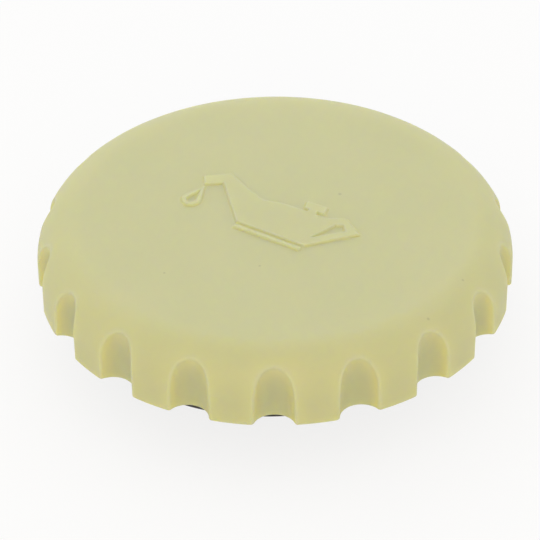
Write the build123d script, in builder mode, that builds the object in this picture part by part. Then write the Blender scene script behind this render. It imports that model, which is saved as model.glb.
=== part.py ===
from build123d import *
import os

# Oil filler cap in millimetres and degrees. It stands on the end of its neck, +Z up, on the cap's own axis.
# Heights named with "drop" run down from the plane of the skirt's bottom edge, other heights run up from it.

# Cap: outer form
cap_radius = 35.0
cap_height = 10.9
wall_height = 4.3
shoulder_width = 6.1
foot_edge_break = 0.3

# Cap: flutes round the grip
flute_count = 18
flute_radius = 3.05
flute_depth = 2.4
flute_lean = 3.2
flute_edge_round = 0.5

# Cap: inside
crown_thickness = 2.5
flute_wall = 2.4
inner_corner_round = 2.0
rib_count = 6
rib_thickness = 1.8
rib_inner_radius = 8.0

# Snap hooks that hang from the crown and hold the closure
hook_thickness = 1.6
hook_arc = 16.0
hook_nose_height = 1.4
hook_gap = 0.3

# Closure: flange, collar and neck
flange_side_gap = 1.2
flange_thickness = 2.5
flange_lip_drop = 3.5
flange_recess = 1.5
lip_thickness = 2.4
lip_edge_break = 0.4
collar_step = 2.0
collar_thickness = 2.0
collar_bead = 2.0
closure_play = 1.0
closure_shift = 0.95
drive_clearance = 0.3
neck_wall = 2.5
neck_drop = 10.0
neck_edge_break = 0.5

# Bayonet lugs
lug_count = 2
lug_reach = 2.5
lug_height = 2.6
lug_arc = 36.0
lug_lift = 0.6
lug_edge_break = 0.4

# Sealing ring
seal_clearance = 0.2
seal_side_gap = 1.8
seal_width = 4.6
seal_thickness = 3.0
seal_edge_break = 0.5

# Raised oil-can symbol, drawn in its own frame: x along the can's base, y up the can
symbol_height = 0.35
symbol_corner = (-5.6, -1.8)
symbol_turn = -31.3
drop_place = (-8.65, 1.35)
drop_radius = 1.5
drop_hole_radius = 0.7
drop_length = 3.7
drop_hole_length = 2.4

# Places worked out from the sizes above
crown_radius = cap_radius - shoulder_width
shoulder_rise = cap_height - wall_height
skirt_z = neck_drop
crown_z = skirt_z + cap_height
crown_underside_z = crown_z - crown_thickness
flute_axis_radius = cap_radius - flute_depth + flute_radius
flute_cut_length = 4 * cap_height
skirt_inner_radius = cap_radius - flute_depth - flute_wall
flange_radius = skirt_inner_radius - flange_side_gap
lip_inner_radius = flange_radius - lip_thickness
lip_z = skirt_z - flange_lip_drop
flange_bottom_z = lip_z + flange_recess
flange_top_z = flange_bottom_z + flange_thickness
seal_outer_radius = lip_inner_radius - seal_side_gap
seal_inner_radius = seal_outer_radius - seal_width
neck_radius = seal_inner_radius - seal_clearance
collar_radius = neck_radius + collar_step
hook_nose_radius = collar_radius + closure_play + hook_gap
bead_radius = collar_radius + collar_bead
hook_inner_radius = bead_radius + closure_play + hook_gap
hook_outer_radius = hook_inner_radius + hook_thickness
collar_top_z = crown_underside_z - hook_gap
bead_bottom_z = collar_top_z - hook_nose_height
hook_nose_top_z = bead_bottom_z - hook_gap
hook_nose_bottom_z = hook_nose_top_z - hook_nose_height
rib_outer_radius = skirt_inner_radius
slot_width = rib_thickness + 2 * (closure_play + drive_clearance)
slot_length = 2 * (collar_thickness + collar_bead)
lug_bottom_z = neck_edge_break + lug_lift
lug_radius = neck_radius + lug_reach

# The closure has play in the cap and lies a little to one side
closure_origin = (-closure_shift, 0, 0)
closure_axis = Axis(closure_origin, (0, 0, 1))
closure_section = Plane(closure_origin, x_dir=(1, 0, 0), z_dir=(0, -1, 0))

# Pieces that are joined reach this far into each other, and shorter edges stay sharp
overlap = 0.05

os.makedirs("parts", exist_ok=True)


def radial_plane(angle, origin=(0, 0, 0)):
    """Upright plane through the origin whose local x runs outwards at this angle and local y runs up."""
    outwards = Vector(1, 0, 0).rotate(Axis.Z, angle)
    across = Vector(0, -1, 0).rotate(Axis.Z, angle)
    return Plane(origin, x_dir=outwards, z_dir=across)


def teardrop(radius, length, mode=Mode.ADD):
    """Round drop with its tip this far above the middle of its round end."""
    slope = radius / length
    side = radius * (1 - slope**2) ** 0.5
    Circle(radius, mode=mode)
    Polygon((-side, radius * slope), (side, radius * slope), (0, length), align=None, mode=mode)


# Cap: one moulding, turned about its axis and then fluted
with BuildPart() as cap:
    with BuildSketch(Plane.XZ):
        with BuildLine():
            Line((0, skirt_z), (cap_radius, skirt_z))
            Line((cap_radius, skirt_z), (cap_radius, skirt_z + wall_height))
            EllipticalCenterArc(
                (crown_radius, skirt_z + wall_height),
                shoulder_width,
                shoulder_rise,
                start_angle=0,
                arc_size=90,
            )
            Line((crown_radius, crown_z), (0, crown_z))
            Line((0, crown_z), (0, skirt_z))
        make_face()
    revolve(axis=Axis.Z)

    # Flutes run up the skirt and out through the shoulder, and grow shallower on the way up
    with Locations(Plane.XY.offset(skirt_z)):
        with PolarLocations(flute_axis_radius, flute_count, start_angle=-90):
            Cylinder(flute_radius, flute_cut_length, rotation=(0, flute_lean, 0), mode=Mode.SUBTRACT)

    # Soft moulded edges on the sides and the arched top of every flute
    flute_walls = cap.faces().filter_by(GeomType.CYLINDER).filter_by(
        lambda face: Vector(face.center().X, face.center().Y).length < cap_radius - flute_depth / 2
    )
    flute_edges = flute_walls.edges().filter_by(lambda edge: edge.center().Z > skirt_z + overlap)
    fillet(flute_edges, flute_edge_round)

    # The skirt's bottom edge, along lands and flutes
    foot_edges = cap.edges().group_by(Axis.Z)[0]
    chamfer(foot_edges, foot_edge_break)

    # Raised oil-can symbol: body with its spout, base strip, filler knob, handle opening and drop
    symbol_plane = Plane(
        (symbol_corner[0], symbol_corner[1], crown_z - overlap),
        x_dir=Vector(1, 0, 0).rotate(Axis.Z, symbol_turn),
    )
    with BuildSketch(symbol_plane):
        with BuildLine():
            Polyline((0, 0), (-6.7, 7.2), (-9.0, 5.5), (-10.2, 7.2), (-6.9, 9.8), (-3.8, 8.3), (-0.4, 6.9))
            ThreePointArc((-0.4, 6.9), (0.8, 6.6), (3.3, 7.3))
            Polyline((3.3, 7.3), (7.6, 7.4), (7.6, 7.9), (6.8, 7.9), (6.3, 9.6), (9.8, 9.7), (10.2, 8.1))
            Polyline((10.2, 8.1), (9.0, 8.0), (9.0, 7.4), (10.8, 7.4), (13.5, 8.8), (17.0, 6.5), (11.4, 0))
            Line((11.4, 0), (0, 0))
        make_face()
        with BuildLine():
            Polyline((11.4, 2.3), (14.8, 6.0), (13.9, 7.1), (12.9, 6.6), close=True)
        make_face(mode=Mode.SUBTRACT)
        with BuildLine():
            Polyline((0.2, -0.5), (0.2, -1.3), (11.3, -1.3), (11.3, -0.5), close=True)
        make_face()
        with Locations(drop_place):
            teardrop(drop_radius, drop_length)
            teardrop(drop_hole_radius, drop_hole_length, mode=Mode.SUBTRACT)
    extrude(amount=symbol_height + overlap)

    # Hollow inside
    with BuildSketch(Plane.XY.offset(skirt_z)):
        Circle(skirt_inner_radius)
    extrude(amount=crown_underside_z - skirt_z, mode=Mode.SUBTRACT)
    inner_corner = cap.edges().filter_by(
        lambda edge: edge.geom_type == GeomType.CIRCLE
        and abs(edge.center().Z - crown_underside_z) < overlap
    )
    fillet(inner_corner, inner_corner_round)

    # Ribs that stand on the flange and turn the closure with the cap
    with BuildSketch(Plane.XY.offset(flange_top_z)):
        with PolarLocations((rib_inner_radius + rib_outer_radius) / 2, rib_count):
            Rectangle(rib_outer_radius - rib_inner_radius, rib_thickness)
    extrude(amount=crown_underside_z - flange_top_z + overlap)

    # Snap hooks, one between every two ribs
    for hook_number in range(rib_count):
        hook_start = (hook_number + 0.5) * 360 / rib_count - hook_arc / 2
        with BuildSketch(radial_plane(hook_start)):
            with BuildLine():
                Polyline(
                    (hook_outer_radius, crown_underside_z + overlap),
                    (hook_outer_radius, hook_nose_bottom_z),
                    (hook_inner_radius, hook_nose_bottom_z),
                    (hook_nose_radius, hook_nose_top_z),
                    (hook_inner_radius, hook_nose_top_z),
                    (hook_inner_radius, crown_underside_z + overlap),
                    close=True,
                )
            make_face()
        revolve(axis=Axis.Z, revolution_arc=hook_arc)

print("cap volume", round(cap.part.volume, 1), "solids", len(cap.part.solids()))
cap.part.label = "cap"
export_step(cap.part, "parts/cap.step")


# Closure: flange, collar with its bead, neck and bayonet lugs in one black moulding
with BuildPart() as closure:
    with BuildSketch(closure_section):
        with BuildLine():
            Polyline(
                (0, flange_bottom_z),
                (neck_radius - neck_wall, flange_bottom_z),
                (neck_radius - neck_wall, 0),
                (neck_radius, 0),
                (neck_radius, flange_bottom_z),
                (lip_inner_radius, flange_bottom_z),
                (lip_inner_radius, lip_z),
                (flange_radius, lip_z),
                (flange_radius, flange_top_z),
                (collar_radius, flange_top_z),
                (collar_radius, bead_bottom_z),
                (bead_radius, bead_bottom_z),
                (collar_radius, collar_top_z),
                (collar_radius - collar_thickness, collar_top_z),
                (collar_radius - collar_thickness, flange_top_z),
                (0, flange_top_z),
                close=True,
            )
        make_face()
    revolve(axis=closure_axis)

    # Slots in the collar take the cap's ribs
    with BuildSketch(Plane(closure_origin).offset(flange_top_z)):
        with PolarLocations(collar_radius, rib_count):
            Rectangle(slot_length, slot_width)
    extrude(amount=collar_top_z - flange_top_z, mode=Mode.SUBTRACT)

    # Broken edges on the lip and at the end of the neck
    lip_edges = closure.edges().filter_by(
        lambda edge: edge.geom_type == GeomType.CIRCLE and abs(edge.center().Z - lip_z) < overlap
    )
    chamfer(lip_edges, lip_edge_break)
    chamfer(closure.edges().group_by(Axis.Z)[0], neck_edge_break)

    # Bayonet lugs stand out of the neck on the left and right
    for lug_number in range(lug_count):
        lug_start = lug_number * 360 / lug_count - lug_arc / 2
        with BuildSketch(radial_plane(lug_start, closure_origin)):
            with Locations((neck_radius + (lug_reach - overlap) / 2, lug_bottom_z + lug_height / 2)):
                Rectangle(lug_reach + overlap, lug_height)
        revolve(axis=closure_axis, revolution_arc=lug_arc)
    lug_edges = closure.edges().filter_by(
        lambda edge: edge.geom_type == GeomType.CIRCLE and abs(edge.radius - lug_radius) < overlap
    )
    chamfer(lug_edges, lug_edge_break)


# Seal: a flat rubber ring round the neck, under the flange
with BuildPart() as seal_ring:
    with BuildSketch(closure_section):
        with Locations(
            (seal_inner_radius + seal_width / 2, flange_bottom_z - seal_thickness / 2)
        ):
            section = Rectangle(seal_width, seal_thickness)
        chamfer(section.vertices(), seal_edge_break)
    revolve(axis=closure_axis)

for piece in (closure, seal_ring):
    print("volume", round(piece.part.volume, 1), "solids", len(piece.part.solids()))
closure.part.label = "closure"
export_step(closure.part, "parts/closure.step")

seal_ring.part.label = "seal_ring"
export_step(seal_ring.part, "parts/seal_ring.step")
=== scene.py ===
import math

import bmesh
import bpy
import numpy as np
from mathutils import Matrix, Vector


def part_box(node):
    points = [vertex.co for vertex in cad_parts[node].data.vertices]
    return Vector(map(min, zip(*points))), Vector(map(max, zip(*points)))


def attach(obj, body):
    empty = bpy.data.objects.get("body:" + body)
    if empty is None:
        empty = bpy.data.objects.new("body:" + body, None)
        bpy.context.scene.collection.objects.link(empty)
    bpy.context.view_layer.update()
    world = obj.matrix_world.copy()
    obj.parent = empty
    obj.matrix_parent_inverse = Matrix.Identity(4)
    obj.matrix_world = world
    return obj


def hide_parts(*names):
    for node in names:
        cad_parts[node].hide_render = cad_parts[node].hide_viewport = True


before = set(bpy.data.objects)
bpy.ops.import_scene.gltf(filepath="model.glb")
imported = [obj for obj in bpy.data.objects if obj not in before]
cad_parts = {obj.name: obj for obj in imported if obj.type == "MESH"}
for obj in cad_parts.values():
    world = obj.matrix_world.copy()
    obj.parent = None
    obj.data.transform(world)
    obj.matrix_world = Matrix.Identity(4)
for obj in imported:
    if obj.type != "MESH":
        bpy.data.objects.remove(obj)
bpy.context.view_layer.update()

# Sizes in metres. MM turns a size in millimetres to metres.
MM = 0.001
cap_low, cap_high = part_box("cap")
closure_low, closure_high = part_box("closure")
seal_low, seal_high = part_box("seal_ring")

# Cap: outer form
SYMBOL_HEIGHT = 0.35 * MM
CAP_RADIUS = cap_high.x
SKIRT_Z = cap_low.z
CROWN_Z = cap_high.z - SYMBOL_HEIGHT
WALL_HEIGHT = 4.3 * MM
SHOULDER_WIDTH = 6.1 * MM
SHOULDER_RISE = CROWN_Z - SKIRT_Z - WALL_HEIGHT
FOOT_ROUND = 0.3 * MM
FLUTE_COUNT = 18
FLUTE_RADIUS = 3.05 * MM
FLUTE_DEPTH = 2.4 * MM
FLUTE_LEAN = math.radians(3.2)
FLUTE_EDGE = 0.5 * MM
FLUTE_EDGE_LIKENESS = 0.9
FLUTE_AXIS = CAP_RADIUS - FLUTE_DEPTH + FLUTE_RADIUS
FIRST_FLUTE = -math.pi / 2
PITCH = 2 * math.pi / FLUTE_COUNT

# Cap: inside
CROWN_THICKNESS = 2.5 * MM
SKIRT_INNER_RADIUS = 30.2 * MM
UNDERSIDE_Z = CROWN_Z - CROWN_THICKNESS
INNER_CORNER = 2.0 * MM
RIB_COUNT = 6
RIB_THICKNESS = 1.8 * MM
RIB_INNER_RADIUS = 8.0 * MM
HOOK_THICKNESS = 1.6 * MM
HOOK_ARC = math.radians(16)
HOOK_NOSE = 1.4 * MM
HOOK_GAP = 0.3 * MM
OVERLAP = 0.3 * MM

# Closure and seal: they share an axis that lies a little to the left of the cap's
CLOSURE_X = (closure_low.x + closure_high.x) / 2
FLANGE_RADIUS = closure_high.y
LIP_THICKNESS = 2.4 * MM
LIP_DROP = 3.5 * MM
LIP_Z = SKIRT_Z - LIP_DROP
FLANGE_BOTTOM_Z = seal_high.z
FLANGE_THICKNESS = 2.5 * MM
FLANGE_TOP_Z = FLANGE_BOTTOM_Z + FLANGE_THICKNESS
FLANGE_CORNER = 0.4 * MM
NECK_RADIUS = 20.0 * MM
NECK_WALL = 2.5 * MM
COLLAR_RADIUS = 22.0 * MM
COLLAR_THICKNESS = 2.0 * MM
COLLAR_BEAD = 2.0 * MM
COLLAR_TOP_Z = closure_high.z
CLOSURE_PLAY = 1.0 * MM
SLOT_WIDTH = 4.4 * MM
LUG_REACH = 2.5 * MM
LUG_HEIGHT = 2.6 * MM
LUG_Z = 1.1 * MM
LUG_ARC = math.radians(36)
LUG_CORNER = 0.35 * MM
SEAL_GAP = 0.2 * MM
SEAL_CORNER = 0.6 * MM

# Mesh of the cap: its rings are found along rays from a pivot in the wall, and the flat parts have their own
PIVOT_RADIUS = 26 * MM
PIVOT_Z = SKIRT_Z + 3 * MM
FARTHEST = 14 * MM
HALVINGS = 30
CROWN_RING = 22.5 * MM
UNDERSIDE_RING = 15 * MM
SHOULDER_SLOPE = math.radians(70.5)
ARCH_SPREAD = math.radians(3.5)
NEXT_TO_NOTHING = 1e-6

# Raised oil-can symbol, in its own frame on the crown: x along the can's base, y up the can
SYMBOL_CORNER = Vector((-5.6, -2.0)) * MM
SYMBOL_TURN = math.radians(-31.3)
SYMBOL_EDGE = 0.26 * MM
SYMBOL_RELIEF = 0.34 * MM
SYMBOL_FIELD_LOW = Vector((-10.8, -1.9)) * MM
SYMBOL_FIELD_HIGH = Vector((17.6, 10.3)) * MM
SYMBOL_STEP = 0.09 * MM
SYMBOL_RING = 19.0 * MM

# Painted light on the cap. The flutes have a painted highlight along each edge, this wide to each side, and
# painted warm bounce light in the hollow that fades out at this depth. The symbol has both painted bands
# along its outline, at places in millimetres that are above zero inside it.
PAINTED_HIGHLIGHT_WIDTH = 0.7 * MM
PAINTED_BOUNCE_DEPTH = 2.2 * MM
PAINTED_BOUNCE_START = 0.3 * MM
SYMBOL_HIGHLIGHT_PLACE = 0.12
SYMBOL_BOUNCE_PLACE = -0.15
SYMBOL_PAINTED_BAND = 0.3
SYMBOL_HIGHLIGHT_SHARE = 0.8
SYMBOL_BOUNCE_SHARE = 0.45

# Faint dark specks in the crown and shoulder, in millimetres: x, y, height above the skirt's edge, radius
SPECK_SHARE = 0.45
SPECKS = (
    (9.6, 5.0, 10.9, 0.4),
    (-15.7, -14.0, 10.9, 0.3),
    (-2.1, -12.4, 10.9, 0.3),
    (26.8, -15.4, 10.5, 0.3),
    (21.6, -23.6, 10.0, 0.35),
)

# Stage: floor and lamps in metres and watts. A lamp has its place, its width, its power and its tint.
FLOOR_HALF_SIDE = 4.0
FLOOR_WHITE_SHARE = 0.82
DAYLIGHT = 0.85
BACKDROP_WHITE = 1.0
SOFT_BOX_WIDTH = 0.8
SOFT_BOXES = (
    ("back_soft_box", (0, 0.98, 0.69), 1.2, "FFFFFF"),
    ("back_left_soft_box", (-0.6, 0.6, 0.85), 1.0, "FFFFFF"),
    ("front_soft_box", (0, -1.04, 0.6), 3.0, "FFDD95"),
)


def srgb(code):
    """Linear colour of an sRGB hex code."""
    parts = [int(code[i : i + 2], 16) / 255 for i in (0, 2, 4)]
    return [p / 12.92 if p <= 0.04045 else ((p + 0.055) / 1.055) ** 2.4 for p in parts] + [1.0]


def add_node(tree, kind, settings=None, links=None):
    """One node of this kind, with its settings, and its inputs set to values or linked from sockets."""
    node = tree.nodes.new(kind)
    for name, value in (settings or {}).items():
        setattr(node, name, value)
    for name, value in (links or {}).items():
        if isinstance(value, bpy.types.NodeSocket):
            tree.links.new(value, node.inputs[name])
        else:
            node.inputs[name].default_value = value
    return node


def empty_tree(owner):
    """The node tree of a material or a world, with its first nodes taken out."""
    owner.use_nodes = True
    owner.node_tree.nodes.clear()
    return owner.node_tree


def surface_mix(tree, share, first, second, output):
    """Joins two shaders by a share, which rises from the first to the second, and ends the tree with them."""
    mix = add_node(tree, "ShaderNodeMixShader", None, {0: share, 1: first, 2: second})
    tree.links.new(mix.outputs[0], output.inputs["Surface"])


def new_material(name):
    """A material with its surface shader and its object coordinates."""
    material = bpy.data.materials.new(name)
    tree = empty_tree(material)
    output = add_node(tree, "ShaderNodeOutputMaterial")
    shader = add_node(tree, "ShaderNodeBsdfPrincipled")
    tree.links.new(shader.outputs["BSDF"], output.inputs["Surface"])
    place = add_node(tree, "ShaderNodeTexCoord").outputs["Object"]
    return material, tree, shader, place


def two_tones(tree, place, size, detail, low, high):
    """A colour that drifts between two tones, each with its place on the ramp, in clouds of this size."""
    cloud = add_node(tree, "ShaderNodeTexNoise", None, {"Vector": place, "Scale": 1 / size, "Detail": detail})
    tone = add_node(tree, "ShaderNodeValToRGB", None, {"Fac": cloud.outputs["Fac"]})
    for stop, (position, code) in zip(tone.color_ramp.elements, (low, high)):
        stop.position = position
        stop.color = srgb(code)
    return tone.outputs["Color"]


def tinted(tree, colour, share, code):
    """The colour, mixed with a tint by this share."""
    links = {"Factor": share, 6: colour, 7: srgb(code)}
    return add_node(tree, "ShaderNodeMix", {"data_type": "RGBA"}, links).outputs[2]


def add_grain(tree, shader, place, size, strength):
    """Fine moulded grain: a soft bump with grains of this size."""
    grain = add_node(tree, "ShaderNodeTexNoise", None, {"Vector": place, "Scale": 1 / size, "Detail": 2.0})
    bump = add_node(
        tree,
        "ShaderNodeBump",
        None,
        {"Strength": strength, "Distance": 0.02 * MM, "Height": grain.outputs["Fac"]},
    )
    tree.links.new(bump.outputs["Normal"], shader.inputs["Normal"])


def cream_nylon():
    """Moulded unpigmented nylon: warm cream, satin, a little translucent, with a painted highlight on edges
    and painted warm bounce light in hollows.
    """
    material, tree, shader, place = new_material("cream_nylon_moulded")
    colour = two_tones(tree, place, 12 * MM, 2.0, (0.3, "C3C493"), (0.7, "C5C595"))
    for x, y, height, radius in SPECKS:
        middle = (x * MM, y * MM, SKIRT_Z + height * MM)
        away = add_node(tree, "ShaderNodeVectorMath", {"operation": "DISTANCE"}, {0: place, 1: middle})
        shade = add_node(
            tree,
            "ShaderNodeMapRange",
            {"interpolation_type": "SMOOTHSTEP"},
            {"Value": away.outputs["Value"], "From Max": radius * MM, "To Min": SPECK_SHARE, "To Max": 0.0},
        )
        colour = tinted(tree, colour, shade.outputs["Result"], "8D8C78")
    # Painted highlight on the edges and painted warm bounce light in the hollows, mixed into the base colour.
    for name, tint in (("painted_bounce", "CFCC93"), ("painted_highlight", "C1C29C")):
        painted_band = add_node(tree, "ShaderNodeAttribute", {"attribute_name": name})
        colour = tinted(tree, colour, painted_band.outputs["Fac"], tint)
    tree.links.new(colour, shader.inputs["Base Color"])
    add_grain(tree, shader, place, 0.35 * MM, 0.1)
    shader.inputs["Roughness"].default_value = 0.5
    shader.inputs["IOR"].default_value = 1.53
    shader.inputs["Subsurface Weight"].default_value = 1.0
    shader.inputs["Subsurface Radius"].default_value = (1.0, 0.8, 0.15)
    shader.inputs["Subsurface Scale"].default_value = 6.0 * MM
    return material


def black_nylon():
    """Moulded black nylon: near black, satin, with a fine grain."""
    material, tree, shader, place = new_material("black_nylon_moulded")
    shader.inputs["Base Color"].default_value = srgb("373334")
    add_grain(tree, shader, place, 0.3 * MM, 0.15)
    shader.inputs["Roughness"].default_value = 0.45
    shader.inputs["IOR"].default_value = 1.53
    return material


def seal_rubber():
    """Moulded nitrile rubber: black and dull, with a trace of dust in the mould's pores."""
    material, tree, shader, place = new_material("nitrile_rubber_moulded")
    dusty = two_tones(tree, place, 2 * MM, 4.0, (0.0, "222020"), (1.0, "2B2929"))
    tree.links.new(dusty, shader.inputs["Base Color"])
    shader.inputs["Roughness"].default_value = 0.75
    shader.inputs["IOR"].default_value = 1.52
    return material


def round_max(first, second, radius):
    """Signed distance to where two solids overlap, with the edge between them rounded."""
    rounded = np.hypot(np.maximum(radius + first, 0), np.maximum(radius + second, 0))
    return np.minimum(-radius, np.maximum(first, second)) + rounded


def body_distance(radius, height):
    """Signed distance to the cap's turned outside, and how far its slope faces outwards and upwards."""
    across = np.maximum(radius - (CAP_RADIUS - SHOULDER_WIDTH), 0) / SHOULDER_WIDTH
    up = np.maximum(height - (SKIRT_Z + WALL_HEIGHT), 0) / SHOULDER_RISE
    reach = np.maximum(np.hypot(across, up), NEXT_TO_NOTHING)
    steepness = np.maximum(np.hypot(across / SHOULDER_WIDTH, up / SHOULDER_RISE), NEXT_TO_NOTHING)
    distance = reach * (reach - 1) / steepness
    return distance, across / SHOULDER_WIDTH / steepness, up / SHOULDER_RISE / steepness


def flute_distance(radius, height, angle):
    """Signed distance to the nearest flute's leaning round cut, and the direction to its axis."""
    out, side = radius * np.cos(angle) - FLUTE_AXIS, radius * np.sin(angle)
    out = out * math.cos(FLUTE_LEAN) - (height - SKIRT_Z) * math.sin(FLUTE_LEAN)
    away = np.maximum(np.hypot(out, side), 1e-9)
    return FLUTE_RADIUS - away, -out / away, -side / away


def cap_distance(radius, height, angle):
    """Signed distance to the cap's outside with its flutes, their edges rounded to one radius all along."""
    body, body_out, body_up = body_distance(radius, height)
    flute, flute_out, flute_side = flute_distance(radius, height, angle)
    body_x, body_y = body_out * np.cos(angle), body_out * np.sin(angle)
    flute_x, flute_up = flute_out * math.cos(FLUTE_LEAN), -flute_out * math.sin(FLUTE_LEAN)
    likeness = body_x * flute_x + body_y * flute_side + body_up * flute_up
    return round_max(body, flute, FLUTE_EDGE * (1 - np.clip(likeness, 0, FLUTE_EDGE_LIKENESS)))


def fall_off(distance, width):
    """1 at no distance, falling smoothly to 0 at this width."""
    near = np.clip(1 - np.abs(distance) / width, 0, 1)
    return near**2 * (3 - 2 * near)


def flute_painted_light(radius, height, angle):
    """Shares of the painted edge highlight and of the painted warm bounce light in the hollow at places on
    the cap's surface.
    """
    body, flute = body_distance(radius, height)[0], flute_distance(radius, height, angle)[0]
    painted_highlight = fall_off(np.maximum(np.abs(body), np.abs(flute)), PAINTED_HIGHLIGHT_WIDTH)
    painted_bounce = np.where(np.abs(flute) < PAINTED_BOUNCE_START, np.clip(1 + body / PAINTED_BOUNCE_DEPTH, 0, 1), 0)
    return painted_highlight, painted_bounce * np.clip(-body / PAINTED_BOUNCE_START, 0, 1)


def surface_reach(start_radius, start_height, slope, angle, inset=0.0):
    """How far the cap's outside, less an inset, lies from a point inside it along a rising direction."""
    near, far = np.zeros_like(angle + slope), np.full_like(angle + slope, FARTHEST)
    for _ in range(HALVINGS):
        middle = (near + far) / 2
        radius = start_radius + middle * np.cos(slope)
        outside = cap_distance(radius, start_height + middle * np.sin(slope), angle) > -inset
        far = np.where(outside, middle, far)
        near = np.where(outside, near, middle)
    return (near + far) / 2


def column_angles():
    """Angles of the mesh's columns over one pitch: across a flute, closer on its edge, wider on the land."""
    turn = np.radians(np.arange(0, 61, 6))
    flute = np.arctan2(FLUTE_RADIUS * np.sin(turn), FLUTE_AXIS - FLUTE_RADIUS * np.cos(turn))
    edge = np.radians([4.55, 4.65, 4.72, 4.79, 4.86, 4.94, 5.04, 5.17, 5.34, 5.55, 5.9])
    land = np.radians([6.6, 7.6, 8.8])
    half = np.concatenate([flute, edge, land])
    return np.concatenate([half, [PITCH / 2], PITCH - half[:0:-1]])


def edge_slopes(offsets):
    """Slope from the pivot at which each column crosses the flute's arch, or the lowest one on the lands."""
    slopes = np.radians(np.arange(12.5, 70, 0.1))[:, None]
    near, far = np.zeros(slopes.shape), np.full(slopes.shape, FARTHEST)
    for _ in range(HALVINGS):
        middle = (near + far) / 2
        radius, height = PIVOT_RADIUS + middle * np.cos(slopes), PIVOT_Z + middle * np.sin(slopes)
        outside = body_distance(radius, height)[0] > 0
        far, near = np.where(outside, middle, far), np.where(outside, near, middle)
    radius, height = PIVOT_RADIUS + near * np.cos(slopes), PIVOT_Z + near * np.sin(slopes)
    open_air = flute_distance(radius, height, offsets[None, :])[0] > 0
    return slopes[np.maximum(open_air.sum(0) - 1, 0), 0]


def cap_section(offsets):
    """Radii and heights of the cap's surface: a row for each ring of the mesh, a column for each angle."""
    arch = edge_slopes(offsets)
    radii, heights = [], []

    def ring(radius, height):
        radii.append(np.full_like(offsets, radius))
        heights.append(np.full_like(offsets, height))

    def ray(start_z, slope, inset=0.0, down=0.0):
        reach = surface_reach(PIVOT_RADIUS, start_z, slope, offsets, inset)
        radii.append(PIVOT_RADIUS + reach * np.cos(slope))
        heights.append(start_z + reach * np.sin(slope) - down)

    for radius in (SYMBOL_RING, CROWN_RING):
        ring(radius, CROWN_Z)
    for slope in np.radians([90, 80]):
        ray(PIVOT_Z, np.full_like(offsets, slope))
    for share in np.linspace(0, 1, 17)[:-1]:
        ray(PIVOT_Z, SHOULDER_SLOPE + share * (arch + ARCH_SPREAD - SHOULDER_SLOPE))
    for share in np.linspace(1, -1, 12)[:-1]:
        ray(PIVOT_Z, arch + share * ARCH_SPREAD)
    for share in np.linspace(1, 0, 8):
        ray(PIVOT_Z, share * (arch - ARCH_SPREAD))
    for height in np.linspace(PIVOT_Z - SKIRT_Z, FOOT_ROUND, 5)[1:]:
        ray(SKIRT_Z + height, np.zeros_like(offsets))
    for turn in np.radians([22.5, 45, 67.5, 90]):
        inset = FOOT_ROUND * (1 - math.cos(turn))
        ray(SKIRT_Z + FOOT_ROUND, np.zeros_like(offsets), inset, FOOT_ROUND * math.sin(turn))
    ring(SKIRT_INNER_RADIUS + FOOT_ROUND, SKIRT_Z)
    ring(SKIRT_INNER_RADIUS, SKIRT_Z + FOOT_ROUND)
    for turn in np.radians([0, 30, 60, 90]):
        inwards, below = INNER_CORNER * (1 - math.cos(turn)), INNER_CORNER * (1 - math.sin(turn))
        ring(SKIRT_INNER_RADIUS - inwards, UNDERSIDE_Z - below)
    ring(UNDERSIDE_RING, UNDERSIDE_Z)
    return np.array(radii), np.array(heights)


def symbol_outlines():
    """The symbol's raised shapes and the holes in them, as closed outlines in millimetres."""
    neck = [(-0.4, 6.9), (0.1, 6.7), (0.8, 6.6), (1.8, 6.78), (3.3, 7.3)]
    body = (
        [(0, 0), (-6.7, 7.2), (-9.0, 5.5), (-10.2, 7.2), (-6.9, 9.8), (-3.8, 8.3)]
        + neck
        + [(7.6, 7.4), (7.6, 7.9), (6.8, 7.9), (6.3, 9.6), (9.8, 9.7), (10.2, 8.1), (9.0, 8.0), (9.0, 7.4)]
        + [(10.8, 7.4), (13.5, 8.8), (17.0, 6.5), (11.4, 0)]
    )
    handle = [(11.4, 2.3), (14.8, 6.0), (13.9, 7.1), (12.9, 6.6)]
    strip = [(0.2, -0.5), (0.2, -1.2), (11.3, -1.2), (11.3, -0.5)]

    def teardrop(radius, length):
        tip = math.acos(radius / length)
        turns = np.linspace(math.pi / 2 + tip, 2.5 * math.pi - tip, 24)
        around = [(-8.65 + radius * math.cos(t), 1.35 + radius * math.sin(t)) for t in turns]
        return around + [(-8.65, 1.35 + length)]

    return [body, strip, teardrop(1.5, 3.7)], [handle, teardrop(0.7, 2.4)]


def outline_distance(outline, x, y):
    """Signed distance in millimetres to a closed outline, above zero inside it."""
    inside = np.zeros(x.shape, bool)
    nearest = np.full(x.shape, 1e9)
    for (x0, y0), (x1, y1) in zip(outline, outline[1:] + outline[:1]):
        run_x, run_y = x1 - x0, y1 - y0
        share = np.clip(((x - x0) * run_x + (y - y0) * run_y) / (run_x**2 + run_y**2), 0, 1)
        nearest = np.minimum(nearest, np.hypot(x - x0 - share * run_x, y - y0 - share * run_y))
        if run_y:
            crosses = ((y0 > y) != (y1 > y)) & (x < x0 + (y - y0) * run_x / run_y)
            inside ^= crosses
    return np.where(inside, nearest, -nearest)


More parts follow.
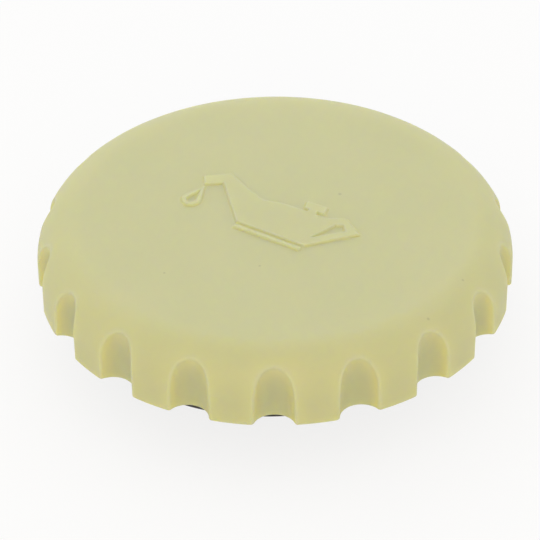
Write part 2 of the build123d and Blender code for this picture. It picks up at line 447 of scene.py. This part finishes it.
def symbol_relief(x, y):
    """Height of the raised symbol at places in its own frame, and the shares of its painted highlight and
    painted warm bounce light.
    """
    raised, holes = symbol_outlines()
    x, y = x / MM, y / MM
    depth = np.max([outline_distance(outline, x, y) for outline in raised], axis=0)
    depth = np.min([depth] + [-outline_distance(outline, x, y) for outline in holes], axis=0)
    share = np.clip(depth * MM / SYMBOL_EDGE + 0.5, 0, 1)
    painted_highlight = SYMBOL_HIGHLIGHT_SHARE * fall_off(depth - SYMBOL_HIGHLIGHT_PLACE, SYMBOL_PAINTED_BAND)
    painted_bounce = SYMBOL_BOUNCE_SHARE * fall_off(depth - SYMBOL_BOUNCE_PLACE, SYMBOL_PAINTED_BAND)
    return SYMBOL_RELIEF * share**2 * (3 - 2 * share), painted_highlight, painted_bounce


def finish_piece(bm, name, material, node):
    """Turns a bmesh into a smooth piece that rides on the part and stands for a CAD node."""
    mesh = bpy.data.meshes.new(name)
    bm.to_mesh(mesh)
    bm.free()
    mesh.materials.append(material)
    mesh.polygons.foreach_set("use_smooth", [True] * len(mesh.polygons))
    piece = bpy.data.objects.new(name, mesh)
    bpy.context.scene.collection.objects.link(piece)
    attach(piece, "root")
    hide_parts(node)
    return piece


def add_turned(bm, section, corner, middle_x, steps=144, start=0.0, arc=2 * math.pi):
    """Adds a section of radii and heights, its corners rounded, turned round an upright axis."""
    outline = bmesh.new()
    points = [outline.verts.new((radius, 0, height)) for radius, height in section]
    closed = section[0][0] > 0 or arc < 2 * math.pi
    for pair in zip(points, points[1:] + points[:1] if closed else points[1:]):
        outline.edges.new(pair)
    if corner:
        rounded = points if closed else points[1:-1]
        shape = {"segments": 3, "profile": 0.5, "affect": "VERTICES", "material": -1}
        bmesh.ops.bevel(outline, geom=rounded, offset=corner, **shape)
    if arc < 2 * math.pi:
        bmesh.ops.contextual_create(outline, geom=outline.edges[:])
    geometry = outline.verts[:] + outline.edges[:] + outline.faces[:]
    bmesh.ops.rotate(outline, verts=outline.verts[:], cent=(0, 0, 0), matrix=Matrix.Rotation(start, 3, "Z"))
    bmesh.ops.spin(
        outline,
        geom=geometry,
        cent=(0, 0, 0),
        axis=(0, 0, 1),
        angle=arc,
        steps=steps,
        use_merge=arc == 2 * math.pi,
    )
    bmesh.ops.remove_doubles(outline, verts=outline.verts[:], dist=0.001 * MM)
    bmesh.ops.translate(outline, verts=outline.verts[:], vec=(middle_x, 0, 0))
    bmesh.ops.recalc_face_normals(outline, faces=outline.faces[:])
    mesh = bpy.data.meshes.new("turned")
    outline.to_mesh(mesh)
    outline.free()
    bm.from_mesh(mesh)
    bpy.data.meshes.remove(mesh)


def add_shell(bm):
    """Spins the cap's section, moves each ring onto the fluted surface and closes the underside."""
    angles = np.concatenate([FIRST_FLUTE + k * PITCH + column_angles() for k in range(FLUTE_COUNT)])
    offsets = column_angles()
    offsets = np.where(offsets > PITCH / 2, offsets - PITCH, offsets)
    section = cap_section(offsets)
    painted_light_shares = flute_painted_light(*section, offsets)
    radii, heights, highlights, bounces = (np.tile(grid, FLUTE_COUNT) for grid in section + painted_light_shares)
    rows, columns = radii.shape

    row_layer = bm.verts.layers.int.new("row")
    # Per-vertex shares of the painted edge highlight and of the painted warm bounce light in the hollows.
    for name in ("painted_highlight", "painted_bounce"):
        bm.verts.layers.float.new(name)
    highlight_layer, bounce_layer = (bm.verts.layers.float[name] for name in ("painted_highlight", "painted_bounce"))
    chain = []
    for number in range(rows):
        vertex = bm.verts.new(((1 + number) * CAP_RADIUS, 0, 0))
        vertex[row_layer] = number
        chain.append(vertex)
    edges = [bm.edges.new(pair) for pair in zip(chain, chain[1:])]
    bmesh.ops.spin(
        bm,
        geom=chain + edges,
        cent=(0, 0, 0),
        axis=(0, 0, 1),
        angle=2 * math.pi,
        steps=columns,
        use_merge=True,
    )
    for vertex in bm.verts:
        turn = math.atan2(vertex.co.y, vertex.co.x) % (2 * math.pi)
        column = round(turn / (2 * math.pi) * columns) % columns
        number = vertex[row_layer]
        radius, angle = radii[number, column], angles[column]
        vertex.co = (radius * math.cos(angle), radius * math.sin(angle), heights[number, column])
        vertex[highlight_layer], vertex[bounce_layer] = highlights[number, column], bounces[number, column]

    inner_loop = [e for e in bm.edges if e.is_boundary and e.verts[0].co.z < CROWN_Z - MM]
    middle = bmesh.ops.extrude_edge_only(bm, edges=inner_loop)["geom"]
    ring = [v for v in middle if isinstance(v, bmesh.types.BMVert)]
    bmesh.ops.pointmerge(bm, verts=ring, merge_co=(0, 0, UNDERSIDE_Z))


def add_symbol(bm):
    """Fills the crown with a fine field that carries the raised symbol, joined to the ring round it."""
    # The symbol's outline carries the same painted highlight and painted warm bounce light.
    highlight_layer, bounce_layer = (bm.verts.layers.float[name] for name in ("painted_highlight", "painted_bounce"))
    crown_loop = [e for e in bm.edges if e.is_boundary]
    size = SYMBOL_FIELD_HIGH - SYMBOL_FIELD_LOW
    centre = (SYMBOL_FIELD_HIGH + SYMBOL_FIELD_LOW) / 2
    grid = bmesh.ops.create_grid(
        bm, x_segments=round(size.x / SYMBOL_STEP), y_segments=round(size.y / SYMBOL_STEP), size=0.5
    )["verts"]
    places = np.array([v.co[:] for v in grid])
    local_x = centre.x + places[:, 0] * size.x
    local_y = centre.y + places[:, 1] * size.y
    relief = symbol_relief(local_x, local_y)
    cos, sin = math.cos(SYMBOL_TURN), math.sin(SYMBOL_TURN)
    for vertex, x, y, rise, painted_highlight, painted_bounce in zip(grid, local_x, local_y, *relief):
        vertex.co = (
            SYMBOL_CORNER.x + x * cos - y * sin,
            SYMBOL_CORNER.y + x * sin + y * cos,
            CROWN_Z + rise,
        )
        vertex[highlight_layer], vertex[bounce_layer] = painted_highlight, painted_bounce
    crown_edges = set(crown_loop)
    field_loop = [e for e in bm.edges if e.is_boundary and e not in crown_edges]
    bmesh.ops.triangle_fill(bm, use_beauty=True, edges=crown_loop + field_loop)
    bmesh.ops.recalc_face_normals(bm, faces=bm.faces)


def add_ribs(bm):
    """Six upright ribs under the crown, which stand in the collar's slots and turn the closure."""
    length = SKIRT_INNER_RADIUS + OVERLAP - RIB_INNER_RADIUS
    height = UNDERSIDE_Z + OVERLAP - FLANGE_TOP_Z
    for number in range(RIB_COUNT):
        turn = Matrix.Rotation(2 * math.pi * number / RIB_COUNT, 3, "Z")
        rib = bmesh.ops.create_cube(bm, size=1)["verts"]
        bmesh.ops.scale(bm, verts=rib, vec=(length, RIB_THICKNESS, height))
        bmesh.ops.translate(bm, verts=rib, vec=(RIB_INNER_RADIUS + length / 2, 0, FLANGE_TOP_Z + height / 2))
        bmesh.ops.rotate(bm, verts=rib, cent=(0, 0, 0), matrix=turn)


def add_hooks(bm):
    """Six snap hooks between the ribs, whose noses reach under the collar's bead."""
    inner = COLLAR_RADIUS + COLLAR_BEAD + CLOSURE_PLAY + HOOK_GAP
    nose_top = COLLAR_TOP_Z - HOOK_NOSE - HOOK_GAP
    root_z = UNDERSIDE_Z + OVERLAP
    hook = [
        (inner + HOOK_THICKNESS, root_z),
        (inner + HOOK_THICKNESS, nose_top - HOOK_NOSE),
        (inner, nose_top - HOOK_NOSE),
        (COLLAR_RADIUS + CLOSURE_PLAY + HOOK_GAP, nose_top),
        (inner, nose_top),
        (inner, root_z),
    ]
    for number in range(RIB_COUNT):
        middle = 2 * math.pi * (number + 0.5) / RIB_COUNT
        add_turned(bm, hook, 0, 0, steps=8, start=middle - HOOK_ARC / 2, arc=HOOK_ARC)


def build_cap():
    """The cap: its closed fluted shell with the symbol on the crown, the ribs and the hooks."""
    bm = bmesh.new()
    add_shell(bm)
    add_symbol(bm)
    add_ribs(bm)
    add_hooks(bm)
    finish_piece(bm, "cap_shell", cream_nylon(), "cap")


def build_closure():
    """The black closure: flange with its lip, neck, bayonet lugs and the collar that the hooks hold."""
    bm = bmesh.new()
    lip_inner = FLANGE_RADIUS - LIP_THICKNESS
    flange = [
        (0, FLANGE_BOTTOM_Z),
        (NECK_RADIUS - NECK_WALL, FLANGE_BOTTOM_Z),
        (NECK_RADIUS - NECK_WALL, 0),
        (NECK_RADIUS, 0),
        (NECK_RADIUS, FLANGE_BOTTOM_Z),
        (lip_inner, FLANGE_BOTTOM_Z),
        (lip_inner, LIP_Z),
        (FLANGE_RADIUS, LIP_Z),
        (FLANGE_RADIUS, FLANGE_TOP_Z),
        (0, FLANGE_TOP_Z),
    ]
    add_turned(bm, flange, FLANGE_CORNER, CLOSURE_X)
    bead_z = COLLAR_TOP_Z - HOOK_NOSE
    collar = [
        (COLLAR_RADIUS - COLLAR_THICKNESS, FLANGE_TOP_Z - OVERLAP),
        (COLLAR_RADIUS, FLANGE_TOP_Z - OVERLAP),
        (COLLAR_RADIUS, bead_z),
        (COLLAR_RADIUS + COLLAR_BEAD, bead_z),
        (COLLAR_RADIUS, COLLAR_TOP_Z),
        (COLLAR_RADIUS - COLLAR_THICKNESS, COLLAR_TOP_Z),
    ]
    slot = SLOT_WIDTH / COLLAR_RADIUS
    for number in range(RIB_COUNT):
        start = 2 * math.pi * number / RIB_COUNT + slot / 2
        add_turned(bm, collar, 0, CLOSURE_X, steps=16, start=start, arc=2 * math.pi / RIB_COUNT - slot)
    lug = [
        (NECK_RADIUS - OVERLAP, LUG_Z),
        (NECK_RADIUS + LUG_REACH, LUG_Z),
        (NECK_RADIUS + LUG_REACH, LUG_Z + LUG_HEIGHT),
        (NECK_RADIUS - OVERLAP, LUG_Z + LUG_HEIGHT),
    ]
    for middle in (0, math.pi):
        add_turned(bm, lug, LUG_CORNER, CLOSURE_X, steps=24, start=middle - LUG_ARC / 2, arc=LUG_ARC)
    finish_piece(bm, "closure_moulding", black_nylon(), "closure")


def build_seal():
    """The rubber ring round the neck, with soft corners."""
    bm = bmesh.new()
    outer, inner = seal_high.y, NECK_RADIUS + SEAL_GAP
    section = [(inner, seal_low.z), (outer, seal_low.z), (outer, seal_high.z), (inner, seal_high.z)]
    add_turned(bm, section, SEAL_CORNER, CLOSURE_X)
    finish_piece(bm, "seal_ring_moulding", seal_rubber(), "seal_ring")


def build_camera():
    """Camera as fitted to the outline and the flutes of the object in the picture."""
    distance, elevation, swing = 445.9 * MM, math.radians(37.5), math.radians(0.45)
    roll, lens = math.radians(-0.52), 200.2
    aim_left, aim_up = 0.77 * MM, 0.51 * MM
    skirt_middle = Vector((0, 0, SKIRT_Z))
    flat = distance * math.cos(elevation)
    eye = skirt_middle + Vector(
        (flat * math.sin(swing), -flat * math.cos(swing), distance * math.sin(elevation))
    )

    def axes(target):
        forward = (target - eye).normalized()
        level = forward.cross(Vector((0, 0, 1))).normalized()
        upright = level.cross(forward)
        right = level * math.cos(roll) + upright * math.sin(roll)
        return right, right.cross(forward), forward

    right, up, _ = axes(skirt_middle)
    right, up, forward = axes(skirt_middle - right * aim_left + up * aim_up)
    camera = bpy.data.objects.new("camera", bpy.data.cameras.new("camera"))
    camera.data.lens = lens
    camera.data.sensor_width = 36
    camera.data.clip_start = 0.01
    camera.data.clip_end = 20
    turn = Matrix((right, up, -forward)).transposed().to_4x4()
    camera.matrix_world = Matrix.Translation(eye) @ turn
    bpy.context.scene.collection.objects.link(camera)
    bpy.context.scene.camera = camera


def add_soft_box(name, place, power, tint):
    """A round soft lamp that faces the object."""
    lamp = bpy.data.lights.new(name, "AREA")
    lamp.shape = "DISK"
    lamp.size = SOFT_BOX_WIDTH
    lamp.energy = power
    lamp.color = srgb(tint)[:3]
    soft_box = bpy.data.objects.new(name, lamp)
    soft_box.location = place
    soft_box.rotation_euler = (-Vector(place)).to_track_quat("-Z", "Y").to_euler()
    bpy.context.scene.collection.objects.link(soft_box)


def build_stage():
    """Plain white floor with a soft shadow, even daylight all round and the soft lamps."""
    bm = bmesh.new()
    bmesh.ops.create_grid(bm, x_segments=1, y_segments=1, size=FLOOR_HALF_SIDE)
    mesh = bpy.data.meshes.new("floor")
    bm.to_mesh(mesh)
    bm.free()
    floor = bpy.data.objects.new("floor", mesh)
    bpy.context.scene.collection.objects.link(floor)
    material = bpy.data.materials.new("white_floor")
    tree = empty_tree(material)
    output = add_node(tree, "ShaderNodeOutputMaterial")
    path = add_node(tree, "ShaderNodeLightPath")
    matt = add_node(tree, "ShaderNodeBsdfDiffuse", None, {"Color": srgb("F0F0F0")})
    glow = add_node(tree, "ShaderNodeEmission", None, {"Color": srgb("FFFFFF"), "Strength": 1.0})
    links = {0: path.outputs["Is Camera Ray"], 1: FLOOR_WHITE_SHARE}
    share = add_node(tree, "ShaderNodeMath", {"operation": "MULTIPLY"}, links)
    surface_mix(tree, share.outputs[0], matt.outputs[0], glow.outputs[0], output)
    mesh.materials.append(material)

    world = bpy.data.worlds.new("studio")
    bpy.context.scene.world = world
    tree = empty_tree(world)
    output = add_node(tree, "ShaderNodeOutputWorld")
    path = add_node(tree, "ShaderNodeLightPath")
    seen = path.outputs["Is Camera Ray"]
    for kind in ("Is Glossy Ray", "Is Transmission Ray"):
        links = {0: seen, 1: path.outputs[kind]}
        seen = add_node(tree, "ShaderNodeMath", {"operation": "MAXIMUM"}, links).outputs[0]
    white = srgb("FFFFFF")
    light = add_node(tree, "ShaderNodeBackground", None, {"Color": white, "Strength": DAYLIGHT})
    backdrop = add_node(tree, "ShaderNodeBackground", None, {"Color": white, "Strength": BACKDROP_WHITE})
    surface_mix(tree, seen, light.outputs[0], backdrop.outputs[0], output)

    for name, place, power, tint in SOFT_BOXES:
        add_soft_box(name, place, power, tint)


build_camera()
build_stage()
build_cap()
build_closure()
build_seal()

bpy.context.scene.view_settings.view_transform = "Standard"
